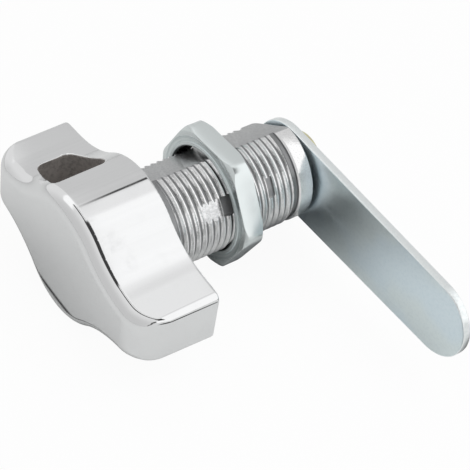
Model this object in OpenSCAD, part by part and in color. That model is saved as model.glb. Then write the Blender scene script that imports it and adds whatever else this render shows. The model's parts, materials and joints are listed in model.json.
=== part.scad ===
// Twist cabinet lock: a wing knob with a padlock hole turns a cam through a threaded barrel.
// Y runs along the lock from the knob to the cam. Y = 0 is the seat on the front of the door.
// X runs along the wings, and the cam points to +X when the lock is shut. Z is up.

/* [Knob] */
// Length over both wings
knob_length = 47.4; // [42:0.2:56]
// Depth from the rear rim to the middle of the front face
knob_depth = 15.7; // [15.3:0.1:18]
// Radius of the round middle, at the rear rim
bulge_radius = 13.2; // [12.8:0.1:15]
// Radius of the hollow between the middle and a wing
waist_fillet = 17.5; // [12:0.5:20]
// Thickness of a wing at its tip, at the rear rim
wing_tip = 10.6; // [9:0.2:13]
// Angle at which each side of a wing draws in towards its tip
wing_taper = 4.5; // [0:0.5:8]
// How much narrower the front is than the rear, on each side
knob_draft = 0.4; // [0:0.1:1]
// Radius of the round between the sides and the front face
face_round = 2.2; // [1:0.2:3.4]
// How far the front face falls back from its middle to the wing tips
face_dome = 0.7; // [0.3:0.1:1.5]
// Radius at which the front face turns down to the wing tips
tip_round = 5.4; // [2:0.2:6]
// Radius of the upright corners of the wings
wing_corner = 1.5; // [0.6:0.1:3]
// Radius of the small round along the rear rim
rear_round = 0.4; // [0.2:0.1:0.6]
// Wall round the cored pocket in the rear of the plain wing
core_wall = 2.6; // [2.4:0.1:2.8]
// Depth of the cored pocket
core_depth = 8; // [5:0.5:9]
// Gap between the rear rim and the door
rim_gap = 0.3; // [0.2:0.1:0.5]

/* [Padlock hole] */
// Distance from the lock's axis to the side of the hole nearest to it
hole_inner_x = 5.6; // [5.4:0.1:7]
// Distance from the lock's axis to the side of the hole nearest to the wing tip
hole_outer_x = 15.3; // [13:0.1:17]
// Width of the hole along the lock, on the side nearest to the axis
hole_inner_width = 10.1; // [8:0.1:10.4]
// Width of the hole along the lock, on the side nearest to the wing tip
hole_outer_width = 6.3; // [4:0.1:7]
// Distance from the door to the rear end of the hole, on its inner side
hole_rear = 4; // [3.6:0.1:4.2]
// Distance from the door to the rear end of the hole, on its outer side
hole_outer_rear = 4.9; // [4:0.1:6]
// Radius of the corners of the hole
hole_corner = 1.2; // [0.5:0.1:1.8]

/* [Barrel] */
// Diameter over the thread
barrel_d = 19; // [18:0.1:19.6]
// Length from the seat to the rear end
barrel_length = 30.6; // [28:0.1:40]
// Length of the plain collar at the rear end
collar_length = 3.2; // [2:0.1:5]
// Length of the plain neck behind the flange
neck_length = 1.6; // [1:0.1:3]
// Distance from one crest of the thread to the next
thread_pitch = 1.27; // [1:0.01:1.5]
// Depth of the thread, and of the run-out groove at each of its ends
thread_depth = 0.6; // [0.3:0.05:0.7]
// Width of the run-out groove at each end of the thread
runout_width = 0.8; // [0.5:0.1:1.2]
// Distance from the axis to the flat that stops the barrel turning in the door
flat_height = 7.6; // [7.4:0.1:8.6]
// Direction of the flat, from the cam's direction when the lock is shut
flat_angle = 125; // [110:1:150]
// Angle from the flat round to the cast windows
window_turn = 90; // [60:1:110]
// Thickness of the flange that sits on the door
flange_thick = 1.2; // [1:0.1:1.5]
// Width of the flange outside the thread
flange_width = 1.9; // [1.5:0.1:2.1]
// Diameter of the bore that the spindle turns in
bore_d = 8.1; // [7.6:0.1:8.4]
// Depth of the shallow cast window in the thread
window_depth = 0.7; // [0.4:0.1:0.8]
// Length of the cast window along the barrel
window_length = 4; // [3:0.1:5]
// Width of the cast window across the barrel
window_width = 3.6; // [3:0.1:4.5]
// Distance from the seat to the cast window
window_start = 7.3; // [6:0.1:9]
// Depth of the deep pocket next to the cast window
deep_pocket_depth = 1.6; // [1:0.1:1.8]
// Length of the deep pocket along the barrel
deep_pocket_length = 2.6; // [1:0.1:3]
// Distance from the seat to the deep pocket
deep_pocket_start = 11.6; // [11.5:0.1:14]
// Length of the short cast window behind the nut
short_window_length = 1.3; // [1:0.1:2]
// Distance from the seat to the short cast window
short_window_start = 21; // [20.5:0.1:23]

/* [Stop] */
// Angle that the knob turns between shut and open
turn_angle = 90; // [80:5:100]
// Diameter of the pocket in the rear end of the barrel
stop_pocket_d = 14; // [13.8:0.1:14.2]
// Depth of the pocket in the rear end of the barrel
stop_pocket_depth = 2.5; // [2.2:0.1:4]
// Diameter of the round part of the stop plate
stop_plate_d = 10.4; // [9.8:0.1:10.8]
// Thickness of the stop plate
stop_plate_thick = 1.4; // [1:0.1:1.6]
// Half of the angle that the ear of the stop plate spans
ear_half_angle = 18; // [14:1:22]
// Direction of the ear when the lock is shut, from the cam's direction
ear_angle = 225; // [215:1:235]

/* [Spindle] */
// Width over the flats of the square in the knob
front_square = 6.9; // [6.6:0.1:7.2]
// Length of the square in the knob
front_square_length = 8.4; // [7:0.1:9]
// Width over the flats of the square that carries the cam
cam_square = 5.5; // [5:0.1:5.6]
// How far the square stops short of the rear of the cam, so that the screw clamps the cam
clamp_space = 0.2; // [0.1:0.05:0.4]
// Diameter of the tapped hole for the cam screw
tapped_hole_d = 4; // [3:0.1:4.2]
// How far the tapped hole runs past the end of the screw
tapped_spare = 1; // [0.5:0.1:2]

/* [Cam] */
// Distance from the axis to the end of the cam
cam_length = 48.6; // [35:0.1:60]
// Width of the cam at the axis
cam_root_width = 16.6; // [15:0.1:19]
// Width of the cam where its round end starts
cam_tip_width = 14.6; // [12:0.1:16.5]
// Thickness of the cam
cam_thick = 1.6; // [1.2:0.1:2.5]
// Gap between the barrel and the cam
cam_gap = 0.7; // [0.4:0.1:1.2]
// Diameter of the spacer between the stop plate and the cam
spacer_d = 10; // [9:0.1:12]

/* [Cam screw] */
// Diameter of the screw head
screw_head_d = 10; // [8:0.1:11]
// Height of the screw head
screw_head_height = 2.8; // [2.2:0.1:3.4]
// Length of the screw under its washer
screw_length = 10; // [7:0.5:14]
// Diameter of the spring washer
spring_washer_d = 9; // [7.4:0.1:9.4]
// Thickness of the spring washer
spring_washer_thick = 1.4; // [0.8:0.1:1.8]
// Height of the straight rim of the screw head
screw_rim = 1.2; // [0.6:0.1:1.5]
// Width of the cross recess
recess_width = 1.1; // [0.8:0.1:1.4]
// Depth of the cross recess
recess_depth = 1.3; // [0.8:0.1:1.6]
// Length of each slot of the cross recess
recess_length = 5.2; // [3:0.1:6.4]
// Width of the split in the spring washer
washer_split = 0.8; // [0.4:0.1:1.2]

/* [Hex nut] */
// Width over the flats
nut_flats = 23.4; // [22.6:0.1:27]
// Thickness
nut_thick = 3.8; // [3:0.1:6]
// Distance from the seat to the nut as it stands
nut_place = 13.3; // [12.5:0.1:18]
// Height of the bevel at the nut's corners
nut_bevel = 0.9; // [0.3:0.1:1.2]
// Angle of the nut about the lock's axis
nut_turn = 57; // [0:1:60]
// Width of the raised ring round the hole
nut_ring = 0.9; // [0.6:0.1:1.2]
// Height of the raised ring round the hole
nut_ring_height = 0.25; // [0.1:0.05:0.4]

/* [Click and seal] */
// Diameter of the ball that clicks into the knob
ball_d = 2.5; // [2:0.1:2.6]
// Distance from the axis to the ball
ball_radius = 6.4; // [6.2:0.1:6.6]
// Direction of the ball, from the cam's direction when the lock is shut
ball_angle = 215; // [200:1:230]
// Depth of the track that the ball runs in
track_depth = 0.4; // [0.3:0.05:0.5]
// Length of the spring under the ball
spring_length = 5; // [4:0.1:7]
// Turns of the spring
spring_turns = 5; // [4:1:7]
// Diameter of the spring's wire
spring_wire = 0.36; // [0.3:0.02:0.44]
// Diameter of the seal ring's cord
seal_cord = 0.9; // [0.7:0.05:1]
// Distance from the seat to the middle of the seal ring
seal_place = 4.2; // [3:0.1:8]

/* [Grub screw] */
// Diameter of the grub screw that holds the knob on the spindle
grub_d = 4; // [3:0.1:4.5]
// Length of the grub screw
grub_length = 6; // [4.5:0.1:7]
// Distance from the seat to the grub screw
grub_place = 6; // [5:0.1:7]
// Width over the flats of its hexagon socket
grub_key = 2; // [1.5:0.1:2.2]

/* [Fits] */
// Clearance on the radius between a shaft and its bore
running_gap = 0.05; // [0.03:0.01:0.1]
// Clearance on each side between pieces that only slip over each other
slip_gap = 0.05; // [0.02:0.01:0.1]
// Clearance between a turning piece and the fixed piece beside it
turning_gap = 0.3; // [0.2:0.05:0.4]
// Clearance between the ear of the stop plate and each end of its travel
stop_gap_angle = 1.5; // [1:0.5:3]

/* [Hidden] */

chrome = "#d9dcde";
nickel = "#c4c6c8";
zinc = "#bfcbd0";
yellow_zinc = "#c9b95c";
steel = "#9aa0a4";
seal_rubber = "#222222";

// A hair that cutters run past the faces they cut
cut = 0.2;
round_steps = 96;

// Places along the lock
knob_rear = -rim_gap;
knob_front = knob_rear - knob_depth;
flange_front = -flange_thick;
recess_floor = flange_front - turning_gap;
recess_ceiling = recess_floor - front_square_length;
ball_top = recess_floor - track_depth + slip_gap;
thread_start = neck_length + runout_width;
thread_end = barrel_length - collar_length - runout_width;
stop_pocket_floor = barrel_length - stop_pocket_depth;
cam_front = barrel_length + cam_gap;
cam_rear = cam_front + cam_thick;
head_seat = cam_rear + spring_washer_thick;
stop_plate_front = stop_pocket_floor + turning_gap;
stop_plate_rear = stop_plate_front + stop_plate_thick;
spindle_end = cam_rear - clamp_space;
screw_end = head_seat - screw_length;
spring_start = ball_top + ball_d;
spring_end = spring_start + spring_length;

// Radii
barrel_r = barrel_d / 2;
flange_r = barrel_r + flange_width;
recess_r = flange_r + turning_gap;
bore_r = bore_d / 2;
journal_r = bore_r - running_gap;
tapped_r = tapped_hole_d / 2;
pocket_r = stop_pocket_d / 2;
stop_plate_r = stop_plate_d / 2;
ear_r = pocket_r - turning_gap;
lug_r = stop_plate_r + turning_gap;
ball_r = ball_d / 2;
ball_pocket_r = ball_r + slip_gap;
seal_inner_r = journal_r - seal_cord;
nut_bore_r = barrel_r + running_gap;
grub_tip = front_square / 2 + slip_gap;

// Draws its children along the lock: their z becomes y, and their y becomes -z.
module along_lock() {
  rotate([-90, 0, 0]) children();
}

// A plain disc or ring between two places along the lock.
module ring(outer_r, start, end, inner_r = 0) {
  along_lock() translate([0, 0, start]) difference() {
    cylinder(r = outer_r, h = end - start, $fn = round_steps);
    if (inner_r > 0)
      translate([0, 0, -cut]) cylinder(r = inner_r, h = end - start + 2 * cut, $fn = round_steps);
  }
}

// A square bar or hole along the lock.
module square_bar(width, start, end) {
  translate([-width / 2, start, -width / 2]) cube([width, end - start, width]);
}

// A sector of a circle, from one direction to another, for cutting or for lugs.
module sector(radius, from, to) {
  steps = ceil((to - from) / 30);
  reach = radius / cos((to - from) / steps / 2);
  polygon(concat(
    [[0, 0]],
    [for (i = [0 : steps]) let (a = from + (to - from) * i / steps) reach * [cos(a), -sin(a)]]
  ));
}

// Steps of each arc of the knob, its rims and its hole, and of the cam's ends
corner_steps = 3;
fillet_steps = 6;
bulge_steps = 8;
round_levels = 4;
rear_levels = 2;
hole_corner_steps = 5;
cam_end_steps = 28;

// Knob: one outline, drawn in or out by an inset, with the same number of points each time.
tip_x = knob_length / 2;
side_normal = [sin(wing_taper), cos(wing_taper)];
side_along = [cos(wing_taper), -sin(wing_taper)];
side_reach = side_normal * [tip_x, wing_tip / 2];
fillet_off = side_reach + waist_fillet;
fillet_along = sqrt(pow(bulge_radius + waist_fillet, 2) - pow(fillet_off, 2));
fillet_centre = fillet_off * side_normal + fillet_along * side_along;
fillet_from = atan2(fillet_centre[1], fillet_centre[0]);

function on_circle(centre, radius, angle) = centre + radius * [cos(angle), sin(angle)];

function knob_quarter(inset) =
  let (
    corner = max(wing_corner - inset, 0.3),
    corner_x = tip_x - inset - corner,
    corner_z = (side_reach - inset - corner - side_normal[0] * corner_x) / side_normal[1]
  )
  concat(
    [for (i = [0 : corner_steps])
      on_circle([corner_x, corner_z], corner, (90 - wing_taper) * i / corner_steps)],
    [for (i = [0 : fillet_steps])
      on_circle(fillet_centre, waist_fillet + inset,
        270 - wing_taper + (fillet_from + 180 - 270 + wing_taper) * i / fillet_steps)],
    [for (i = [1 : bulge_steps])
      on_circle([0, 0], bulge_radius - inset, fillet_from + (90 - fillet_from) * i / bulge_steps)]
  );

function mirrored(points, sx, sz) = [for (p = points) [p[0] * sx, p[1] * sz]];
function backwards(points) = [for (i = [len(points) - 1 : -1 : 0]) points[i]];
function without_last(points) = [for (i = [0 : len(points) - 2]) points[i]];

// The whole outline, from the +X tip over the top and round by the bottom.
function knob_outline(inset) =
  let (q = knob_quarter(inset))
  concat(
    without_last(q),
    backwards(mirrored(q, -1, 1)),
    without_last(mirrored(q, -1, -1)),
    backwards(mirrored(q, 1, -1))
  );

// The front face is part of a large cylinder that stands upright, and turns down at the wing tips.
dome_radius = (pow(tip_x, 2) + pow(face_dome, 2)) / (2 * face_dome);
function past_turn(x) = min(max(abs(x) - (tip_x - tip_round), 0), tip_round);
function face_place(x) =
  knob_front + dome_radius - sqrt(pow(dome_radius, 2) - pow(x, 2))
  + tip_round - sqrt(pow(tip_round, 2) - pow(past_turn(x), 2));

function knob_level(inset, place) = [for (p = knob_outline(inset)) [p[0], place, p[1]]];
function round_level(angle) =
  [for (p = knob_outline(knob_draft + face_round * (1 - cos(angle))))
    [p[0], face_place(p[0]) + face_round * (1 - sin(angle)), p[1]]];

module knob_body() {
  levels = concat(
    [for (i = [0 : rear_levels]) let (a = 90 * i / rear_levels)
      knob_level(rear_round * (1 - sin(a)), knob_rear - rear_round * (1 - cos(a)))],
    [for (i = [0 : round_levels]) round_level(90 * i / round_levels)]
  );
  count = len(levels[0]);
  half = count / 2;
  last = len(levels) - 1;
  // Each strip across the face joins a point above the middle to the one below it
  across = function (i) count - 1 - i;
  sides = [for (k = [0 : last - 1], i = [0 : count - 1]) let (
      a = k * count + i, b = k * count + (i + 1) % count
    ) each [[a, b, b + count], [a, b + count, a + count]]];
  strips = [for (i = [0 : half - 2]) [i, i + 1, across(i + 1), across(i)]];
  rear_face = [for (s = strips) each [[s[2], s[1], s[0]], [s[3], s[2], s[0]]]];
  front_face = [for (s = strips) each [
    [s[0], s[1], s[2]] + last * count * [1, 1, 1],
    [s[0], s[2], s[3]] + last * count * [1, 1, 1]
  ]];
  polyhedron(points = [for (level = levels) each level], faces = concat(sides, rear_face, front_face));
}

// The padlock hole: four sides, wider towards the axis, with round corners.
hole_places = [
  [-hole_inner_x, -hole_rear],
  [-hole_outer_x, -hole_outer_rear],
  [-hole_outer_x, -hole_outer_rear - hole_outer_width],
  [-hole_inner_x, -hole_rear - hole_inner_width]
];

// An anticlockwise convex outline with each of its corners rounded by one radius.
function unit(v) = v / norm(v);
function rounded_corner(before, corner, after, radius) =
  let (
    back = unit(before - corner), on = unit(after - corner),
    centre = corner + unit(back + on) * radius / sin(acos(back * on) / 2),
    start = atan2(back[0], -back[1]),
    turn = 180 - acos(back * on)
  )
  [for (i = [0 : hole_corner_steps]) on_circle(centre, radius, start + turn * i / hole_corner_steps)];
function rounded_outline(points, radius) =
  let (n = len(points))
  [for (i = [0 : n - 1])
    each rounded_corner(points[(i + n - 1) % n], points[i], points[(i + 1) % n], radius)];

module padlock_hole() {
  reach = bulge_radius + 1;
  translate([0, 0, -reach]) linear_extrude(2 * reach)
    polygon(rounded_outline(hole_places, hole_corner));
}

// A cored pocket in the rear of the plain wing, as a casting has.
module wing_core() {
  core_start = recess_r + core_wall;
  core_height = wing_tip - 2 * core_wall;
  translate([core_start, knob_rear - core_depth, -core_height / 2])
    cube([tip_x - core_wall - core_start, core_depth + cut, core_height]);
}

// The track in the floor of the recess, in which the ball runs from shut to open.
module ball_track() {
  along_lock() translate([0, 0, recess_floor - track_depth]) {
    linear_extrude(track_depth + cut) intersection() {
      difference() {
        circle(r = ball_radius + ball_r, $fn = round_steps);
        circle(r = ball_radius - ball_r, $fn = round_steps);
      }
      sector(2 * ball_radius, ball_angle - turn_angle, ball_angle);
    }
    for (a = [ball_angle - turn_angle, ball_angle])
      translate(ball_radius * [cos(a), -sin(a)])
        cylinder(r = ball_pocket_r, h = track_depth + cut, $fn = round_steps);
  }
}

module grub_hole() {
  translate([0, -grub_place, -bulge_radius - cut])
    cylinder(d = grub_d + 2 * slip_gap, h = bulge_radius + cut, $fn = round_steps);
}

module knob() {
  color(chrome) difference() {
    knob_body();
    ring(recess_r, recess_floor, knob_rear + cut);
    square_bar(front_square + 2 * slip_gap, recess_ceiling - slip_gap, recess_floor + cut);
    ball_track();
    padlock_hole();
    wing_core();
    grub_hole();
  }
}

module grub_screw() {
  socket_depth = grub_length / 2;
  color(steel) translate([0, -grub_place, -grub_tip - grub_length]) difference() {
    cylinder(d = grub_d, h = grub_length, $fn = round_steps);
    translate([0, 0, -cut])
      cylinder(d = grub_key / cos(30), h = socket_depth + cut, $fn = 6);
  }
}

module spindle() {
  color(steel) difference() {
    union() {
      square_bar(front_square, recess_ceiling, recess_floor);
      ring(journal_r, recess_floor, seal_place - seal_cord / 2 - slip_gap);
      ring(seal_inner_r - slip_gap, recess_floor, stop_plate_front);
      ring(journal_r, seal_place + seal_cord / 2 + slip_gap, stop_plate_front);
      square_bar(cam_square, stop_plate_front - cut, spindle_end);
    }
    ring(tapped_r, screw_end - tapped_spare, spindle_end + cut);
  }
}

module seal_ring() {
  color(seal_rubber) along_lock() translate([0, 0, seal_place]) rotate_extrude($fn = round_steps)
    translate([seal_inner_r + seal_cord / 2, 0]) circle(d = seal_cord, $fn = 32);
}

// One ridge of the thread: share of its depth, and share of its pitch.
ridge = [[0, 0.08], [1, 0.42], [1, 0.58], [0, 0.92]];

// Barrel: flange, plain neck, threaded length and plain collar, with one flat along it. The thread
// is drawn as a ring for each turn, so that it stays a true revolve with few faces.
module barrel_profile() {
  root_r = barrel_r - thread_depth;
  turns = floor((thread_end - thread_start) / thread_pitch);
  first = (thread_start + thread_end - turns * thread_pitch) / 2;
  polygon(concat(
    [[0, flange_front], [flange_r, flange_front], [flange_r, 0],
      [barrel_r, 0], [barrel_r, neck_length], [root_r, neck_length]],
    [for (i = [0 : turns - 1], c = ridge) [root_r + c[0] * thread_depth, first + (i + c[1]) * thread_pitch]],
    [[root_r, thread_end + runout_width], [barrel_r, thread_end + runout_width],
      [barrel_r, barrel_length], [0, barrel_length]]
  ));
}

// Things cut at an angle round the barrel: their own +X points out of the barrel.
module facing(angle) {
  rotate([0, -angle, 0]) children();
}

module barrel_flat() {
  facing(flat_angle) translate([flat_height, 0, -barrel_r - cut])
    cube([barrel_r, barrel_length + cut, barrel_d + 2 * cut]);
}

// A pocket that the casting leaves in the thread.
module cast_window(start, length, depth) {
  facing(flat_angle - window_turn) translate([barrel_r - depth, start, -window_width / 2])
    cube([depth + cut, length, window_width]);
}

module stop_pocket() {
  along_lock() translate([0, 0, stop_pocket_floor]) {
    linear_extrude(stop_pocket_depth + cut) difference() {
      circle(r = pocket_r, $fn = round_steps);
      difference() {
        circle(r = pocket_r + 1, $fn = round_steps);
        circle(r = lug_r, $fn = round_steps);
        sector(pocket_r + 2, ear_angle - ear_half_angle - stop_gap_angle,
          ear_angle + turn_angle + ear_half_angle + stop_gap_angle);
      }
    }
  }
}

module ball_pocket() {
  facing(ball_angle) translate([ball_radius, 0, 0])
    ring(ball_pocket_r, flange_front - cut, spring_end);
}

module barrel() {
  color(nickel) difference() {
    along_lock() rotate_extrude($fn = round_steps) barrel_profile();
    ring(bore_r, flange_front - cut, barrel_length + cut);
    barrel_flat();
    cast_window(window_start, window_length, window_depth);
    cast_window(deep_pocket_start, deep_pocket_length, deep_pocket_depth);
    cast_window(short_window_start, short_window_length, window_depth);
    stop_pocket();
    ball_pocket();
  }
}

module detent_ball() {
  color(steel) facing(ball_angle) translate([ball_radius, ball_top + ball_r, 0])
    sphere(r = ball_r, $fn = 48);
}

// The spring is a wire swept round a helix, with its ends closed flat.
module detent_spring() {
  sides = 6;
  per_turn = 12;
  rings = spring_turns * per_turn;
  coil_r = ball_r - spring_wire / 2 - slip_gap;
  wire_r = spring_wire / 2;
  climb = spring_length - spring_wire - 2 * slip_gap;
  points = [for (i = [0 : rings], j = [0 : sides - 1]) let (
      a = 360 * i / per_turn, b = 360 * j / sides,
      out = coil_r + wire_r * cos(b),
      up = climb * i / rings + wire_r * (1 + sin(b))
    ) [out * cos(a), up, out * sin(a)]];
  walls = [for (i = [0 : rings - 1], j = [0 : sides - 1]) let (
      a = i * sides + j, b = i * sides + (j + 1) % sides
    ) each [[a, b, b + sides], [a, b + sides, a + sides]]];
  ends = [
    [for (j = [sides - 1 : -1 : 0]) j],
    [for (j = [0 : sides - 1]) rings * sides + j]
  ];
  color(steel) facing(ball_angle) translate([ball_radius, spring_start + slip_gap, 0])
    polyhedron(points = points, faces = concat(walls, ends));
}

module stop_plate() {
  color(zinc) difference() {
    along_lock() translate([0, 0, stop_plate_front]) linear_extrude(stop_plate_thick) union() {
      circle(r = stop_plate_r, $fn = round_steps);
      intersection() {
        circle(r = ear_r, $fn = round_steps);
        sector(2 * ear_r, ear_angle - ear_half_angle, ear_angle + ear_half_angle);
      }
    }
    square_bar(cam_square + 2 * slip_gap, stop_plate_front - cut, stop_plate_rear + cut);
  }
}

module cam_spacer() {
  // The hole clears the corners of the square
  hole_r = cam_square * sqrt(2) / 2 + slip_gap;
  color(zinc) ring(spacer_d / 2, stop_plate_rear, cam_front, hole_r);
}

// Cam: two round ends joined by their common tangents.
function arc(centre, radius, from, to, steps) =
  [for (i = [0 : steps]) on_circle(centre, radius, from + (to - from) * i / steps)];

module cam() {
  root_r = cam_root_width / 2;
  end_r = cam_tip_width / 2;
  reach = cam_length - end_r;
  lean = acos((root_r - end_r) / reach);
  color(zinc) difference() {
    along_lock() translate([0, 0, cam_front]) linear_extrude(cam_thick) polygon(concat(
      arc([reach, 0], end_r, -lean, lean, cam_end_steps),
      arc([0, 0], root_r, lean, 360 - lean, cam_end_steps)
    ));
    square_bar(cam_square + 2 * slip_gap, cam_front - cut, cam_rear + cut);
  }
}

// Spring washer: one split ring.
module spring_washer() {
  color(yellow_zinc) difference() {
    ring(spring_washer_d / 2, cam_rear, head_seat, tapped_r + 2 * slip_gap);
    translate([-washer_split / 2, cam_rear - cut, 0])
      cube([washer_split, spring_washer_thick + 2 * cut, spring_washer_d]);
  }
}

// Cam screw: domed head with a cross recess, and a plain shank of its thread's diameter.
module cam_screw() {
  head_r = screw_head_d / 2;
  dome = screw_head_height - screw_rim;
  dome_r = (pow(head_r, 2) + pow(dome, 2)) / (2 * dome);
  top = head_seat + screw_head_height;
  color(yellow_zinc) difference() {
    union() {
      along_lock() rotate_extrude($fn = round_steps) intersection() {
        translate([0, head_seat]) square([head_r, screw_head_height]);
        translate([0, top - dome_r]) circle(r = dome_r, $fn = round_steps);
      }
      ring(tapped_r - slip_gap, screw_end, head_seat + screw_rim / 2);
    }
    for (turn = [45, 135]) facing(turn)
      translate([-recess_length / 2, top - recess_depth, -recess_width / 2])
        cube([recess_length, recess_depth + cut, recess_width]);
  }
}

// The round faces of the nut end just inside its flats
nut_face_share = 0.99;

// Nut: a hexagon with its corners cut by a cone, and a raised ring round its hole.
module hex_nut() {
  corner_r = nut_flats / 2 / cos(30);
  face_r = nut_flats / 2 * nut_face_share;
  rim_r = corner_r + cut;
  rim_bevel = nut_bevel * (rim_r - face_r) / (corner_r - face_r);
  color(zinc) difference() {
    union() {
      along_lock() translate([0, 0, nut_place]) intersection() {
        rotate(nut_turn) cylinder(r = corner_r, h = nut_thick, $fn = 6);
        rotate_extrude($fn = round_steps) polygon([
          [0, 0], [face_r, 0], [rim_r, rim_bevel], [rim_r, nut_thick - rim_bevel],
          [face_r, nut_thick], [0, nut_thick]
        ]);
      }
      ring(nut_bore_r + nut_ring, nut_place - nut_ring_height, nut_place + cut);
    }
    ring(nut_bore_r, nut_place - nut_ring_height - cut, nut_place + nut_thick + cut);
  }
}

knob();
grub_screw();
spindle();
seal_ring();
barrel();
detent_ball();
detent_spring();
stop_plate();
cam_spacer();
cam();
spring_washer();
cam_screw();
hex_nut();
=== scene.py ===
# %% [markdown]
# # A twist cabinet lock
# This lesson dresses a panel lock: a chromed wing knob with a hole for a padlock, a threaded barrel with a
# flat along it, a hexagon nut and a zinc-plated cam held by a yellow screw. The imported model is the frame.
# Every piece below takes its place and its main sizes from that frame. The smaller sizes, which the frame
# doesn't give, are named where they are first needed.

# %% Load the frame
import itertools
import json
import math

import bmesh
import bpy
import numpy as np
from mathutils import Matrix, Vector


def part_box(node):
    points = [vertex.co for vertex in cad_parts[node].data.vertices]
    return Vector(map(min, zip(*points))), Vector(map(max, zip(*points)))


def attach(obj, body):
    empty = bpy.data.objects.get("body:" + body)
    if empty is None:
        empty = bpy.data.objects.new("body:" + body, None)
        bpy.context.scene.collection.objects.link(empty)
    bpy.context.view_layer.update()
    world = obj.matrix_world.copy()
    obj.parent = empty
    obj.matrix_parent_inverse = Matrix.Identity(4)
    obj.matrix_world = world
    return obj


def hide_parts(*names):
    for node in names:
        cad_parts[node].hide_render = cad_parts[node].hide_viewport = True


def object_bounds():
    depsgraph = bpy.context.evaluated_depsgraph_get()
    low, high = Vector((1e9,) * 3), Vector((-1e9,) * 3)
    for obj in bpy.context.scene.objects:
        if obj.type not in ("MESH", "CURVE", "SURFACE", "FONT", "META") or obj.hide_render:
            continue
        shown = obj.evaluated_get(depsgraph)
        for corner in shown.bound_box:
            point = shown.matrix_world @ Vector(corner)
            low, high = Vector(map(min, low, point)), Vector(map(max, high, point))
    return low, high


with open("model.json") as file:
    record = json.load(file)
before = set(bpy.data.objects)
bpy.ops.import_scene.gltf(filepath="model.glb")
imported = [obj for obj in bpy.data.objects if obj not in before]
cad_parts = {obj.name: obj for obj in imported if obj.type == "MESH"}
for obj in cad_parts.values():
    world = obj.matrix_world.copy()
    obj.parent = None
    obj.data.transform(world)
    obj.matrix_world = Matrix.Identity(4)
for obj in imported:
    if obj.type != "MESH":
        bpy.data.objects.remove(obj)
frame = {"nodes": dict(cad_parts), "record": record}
cad_low, cad_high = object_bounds()
MM = 0.001
print("overall size in mm:", [round(side / MM, 2) for side in cad_high - cad_low])

# %% Sizes that several pieces share
knob_low, knob_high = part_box("knob")
barrel_low, barrel_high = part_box("barrel")
nut_low, nut_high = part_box("hex_nut")
cam_low, cam_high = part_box("cam")
washer_low, washer_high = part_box("spring_washer")
screw_low, screw_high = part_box("cam_screw")
grub_low, grub_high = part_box("grub_screw")
neck = next(mount for mount in frame["record"]["mounts"] if mount["name"] == "barrel_neck")
barrel_radius = neck["dims"]["r_mm"] * MM
neck_length = neck["dims"]["length_mm"] * MM
print("barrel radius in mm:", barrel_radius / MM)

# %% [markdown]
# ## The camera
# A product picture of a small part is taken from close by with a long lens, so its perspective is mild.
# The camera looks at a point level with the lock's axis. It is placed by its direction and distance, and
# then rolled a little, because the lock lies slightly tilted in the picture.

# %% Place the camera
camera_azimuth = math.radians(46.99)
camera_elevation = math.radians(45.85)
camera_roll = math.radians(10.15)
camera_distance = 256.4 * MM
camera_target = Vector((10.0, 13.1, 0)) * MM
camera_lens = 115.18  # for a sensor 36 mm wide

def place_camera():
    level = math.cos(camera_elevation)
    back = Vector((math.sin(camera_azimuth) * level, -math.cos(camera_azimuth) * level,
                   math.sin(camera_elevation)))
    right = (-back).cross(Vector((0, 0, 1))).normalized()
    up = right.cross(-back)
    turn = Matrix.Rotation(camera_roll, 3, back)
    right, up = turn @ right, turn @ up
    data = bpy.data.cameras.new("camera")
    data.lens = camera_lens
    data.clip_start = camera_distance / 10
    data.clip_end = camera_distance * 100
    camera = bpy.data.objects.new("camera", data)
    turned = Matrix((right, up, back)).transposed().to_4x4()
    camera.matrix_world = Matrix.Translation(camera_target + back * camera_distance) @ turned
    bpy.context.scene.collection.objects.link(camera)
    bpy.context.scene.camera = camera
    return back

towards_camera = place_camera()
bpy.context.scene.view_settings.view_transform = "Standard"
print("camera looks from", [round(v, 3) for v in towards_camera])

# %% [markdown]
# ## Helpers for meshes
# Each finished piece is one object at the origin, with its place in its mesh. It rides on a body of the
# frame, takes one of the finishes built below, and hides the plain solid that it stands for.

# %% Turn points and faces into a piece
def mesh_from(name, points, faces):
    mesh = bpy.data.meshes.new(name)
    mesh.from_pydata([tuple(p) for p in points], [], [tuple(f) for f in faces])
    mesh.validate()
    mesh.update()
    return mesh

def object_from(mesh):
    made = bpy.data.objects.new(mesh.name, mesh)
    bpy.context.scene.collection.objects.link(made)
    return made

def settled_mesh(made):
    """The object's mesh with its modifiers applied; the object keeps it and loses the modifiers."""
    graph = bpy.context.evaluated_depsgraph_get()
    result = bpy.data.meshes.new_from_object(made.evaluated_get(graph), depsgraph=graph)
    result.name = made.name
    made.modifiers.clear()
    made.data = result
    return result

def turn_outwards(mesh):
    """Turn the whole closed mesh inside out if its volume comes out negative."""
    work = bmesh.new()
    work.from_mesh(mesh)
    if work.calc_volume(signed=True) < 0:
        bmesh.ops.reverse_faces(work, faces=work.faces)
    work.to_mesh(mesh)
    work.free()

def dress(made, body, material, replaced):
    made.data.materials.clear()
    made.data.materials.append(material)
    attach(made, body)
    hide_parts(replaced)
    print(f"{made.name}: {len(made.data.polygons)} faces on body {body}")

# %% [markdown]
# ## Helpers for node trees
# Materials and Geometry Nodes are both built by script here. One helper adds a node and fills its
# sockets, from numbers or from other sockets, so a tree reads like a formula.

# %% Add a node and feed it
def feed(tree, socket, value):
    if isinstance(value, bpy.types.NodeSocket):
        tree.links.new(value, socket)
    else:
        socket.default_value = value

def add_node(tree, kind, settings=None, **inputs):
    node = tree.nodes.new(kind)
    for key, value in (settings or {}).items():
        setattr(node, key, value)
    for key, value in inputs.items():
        feed(tree, node.inputs[key.replace("_", " ")], value)
    return node

def first_node(tree, kind):
    """The node of a kind that Blender puts into every new tree."""
    return next(node for node in tree.nodes if node.type == kind)

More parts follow.
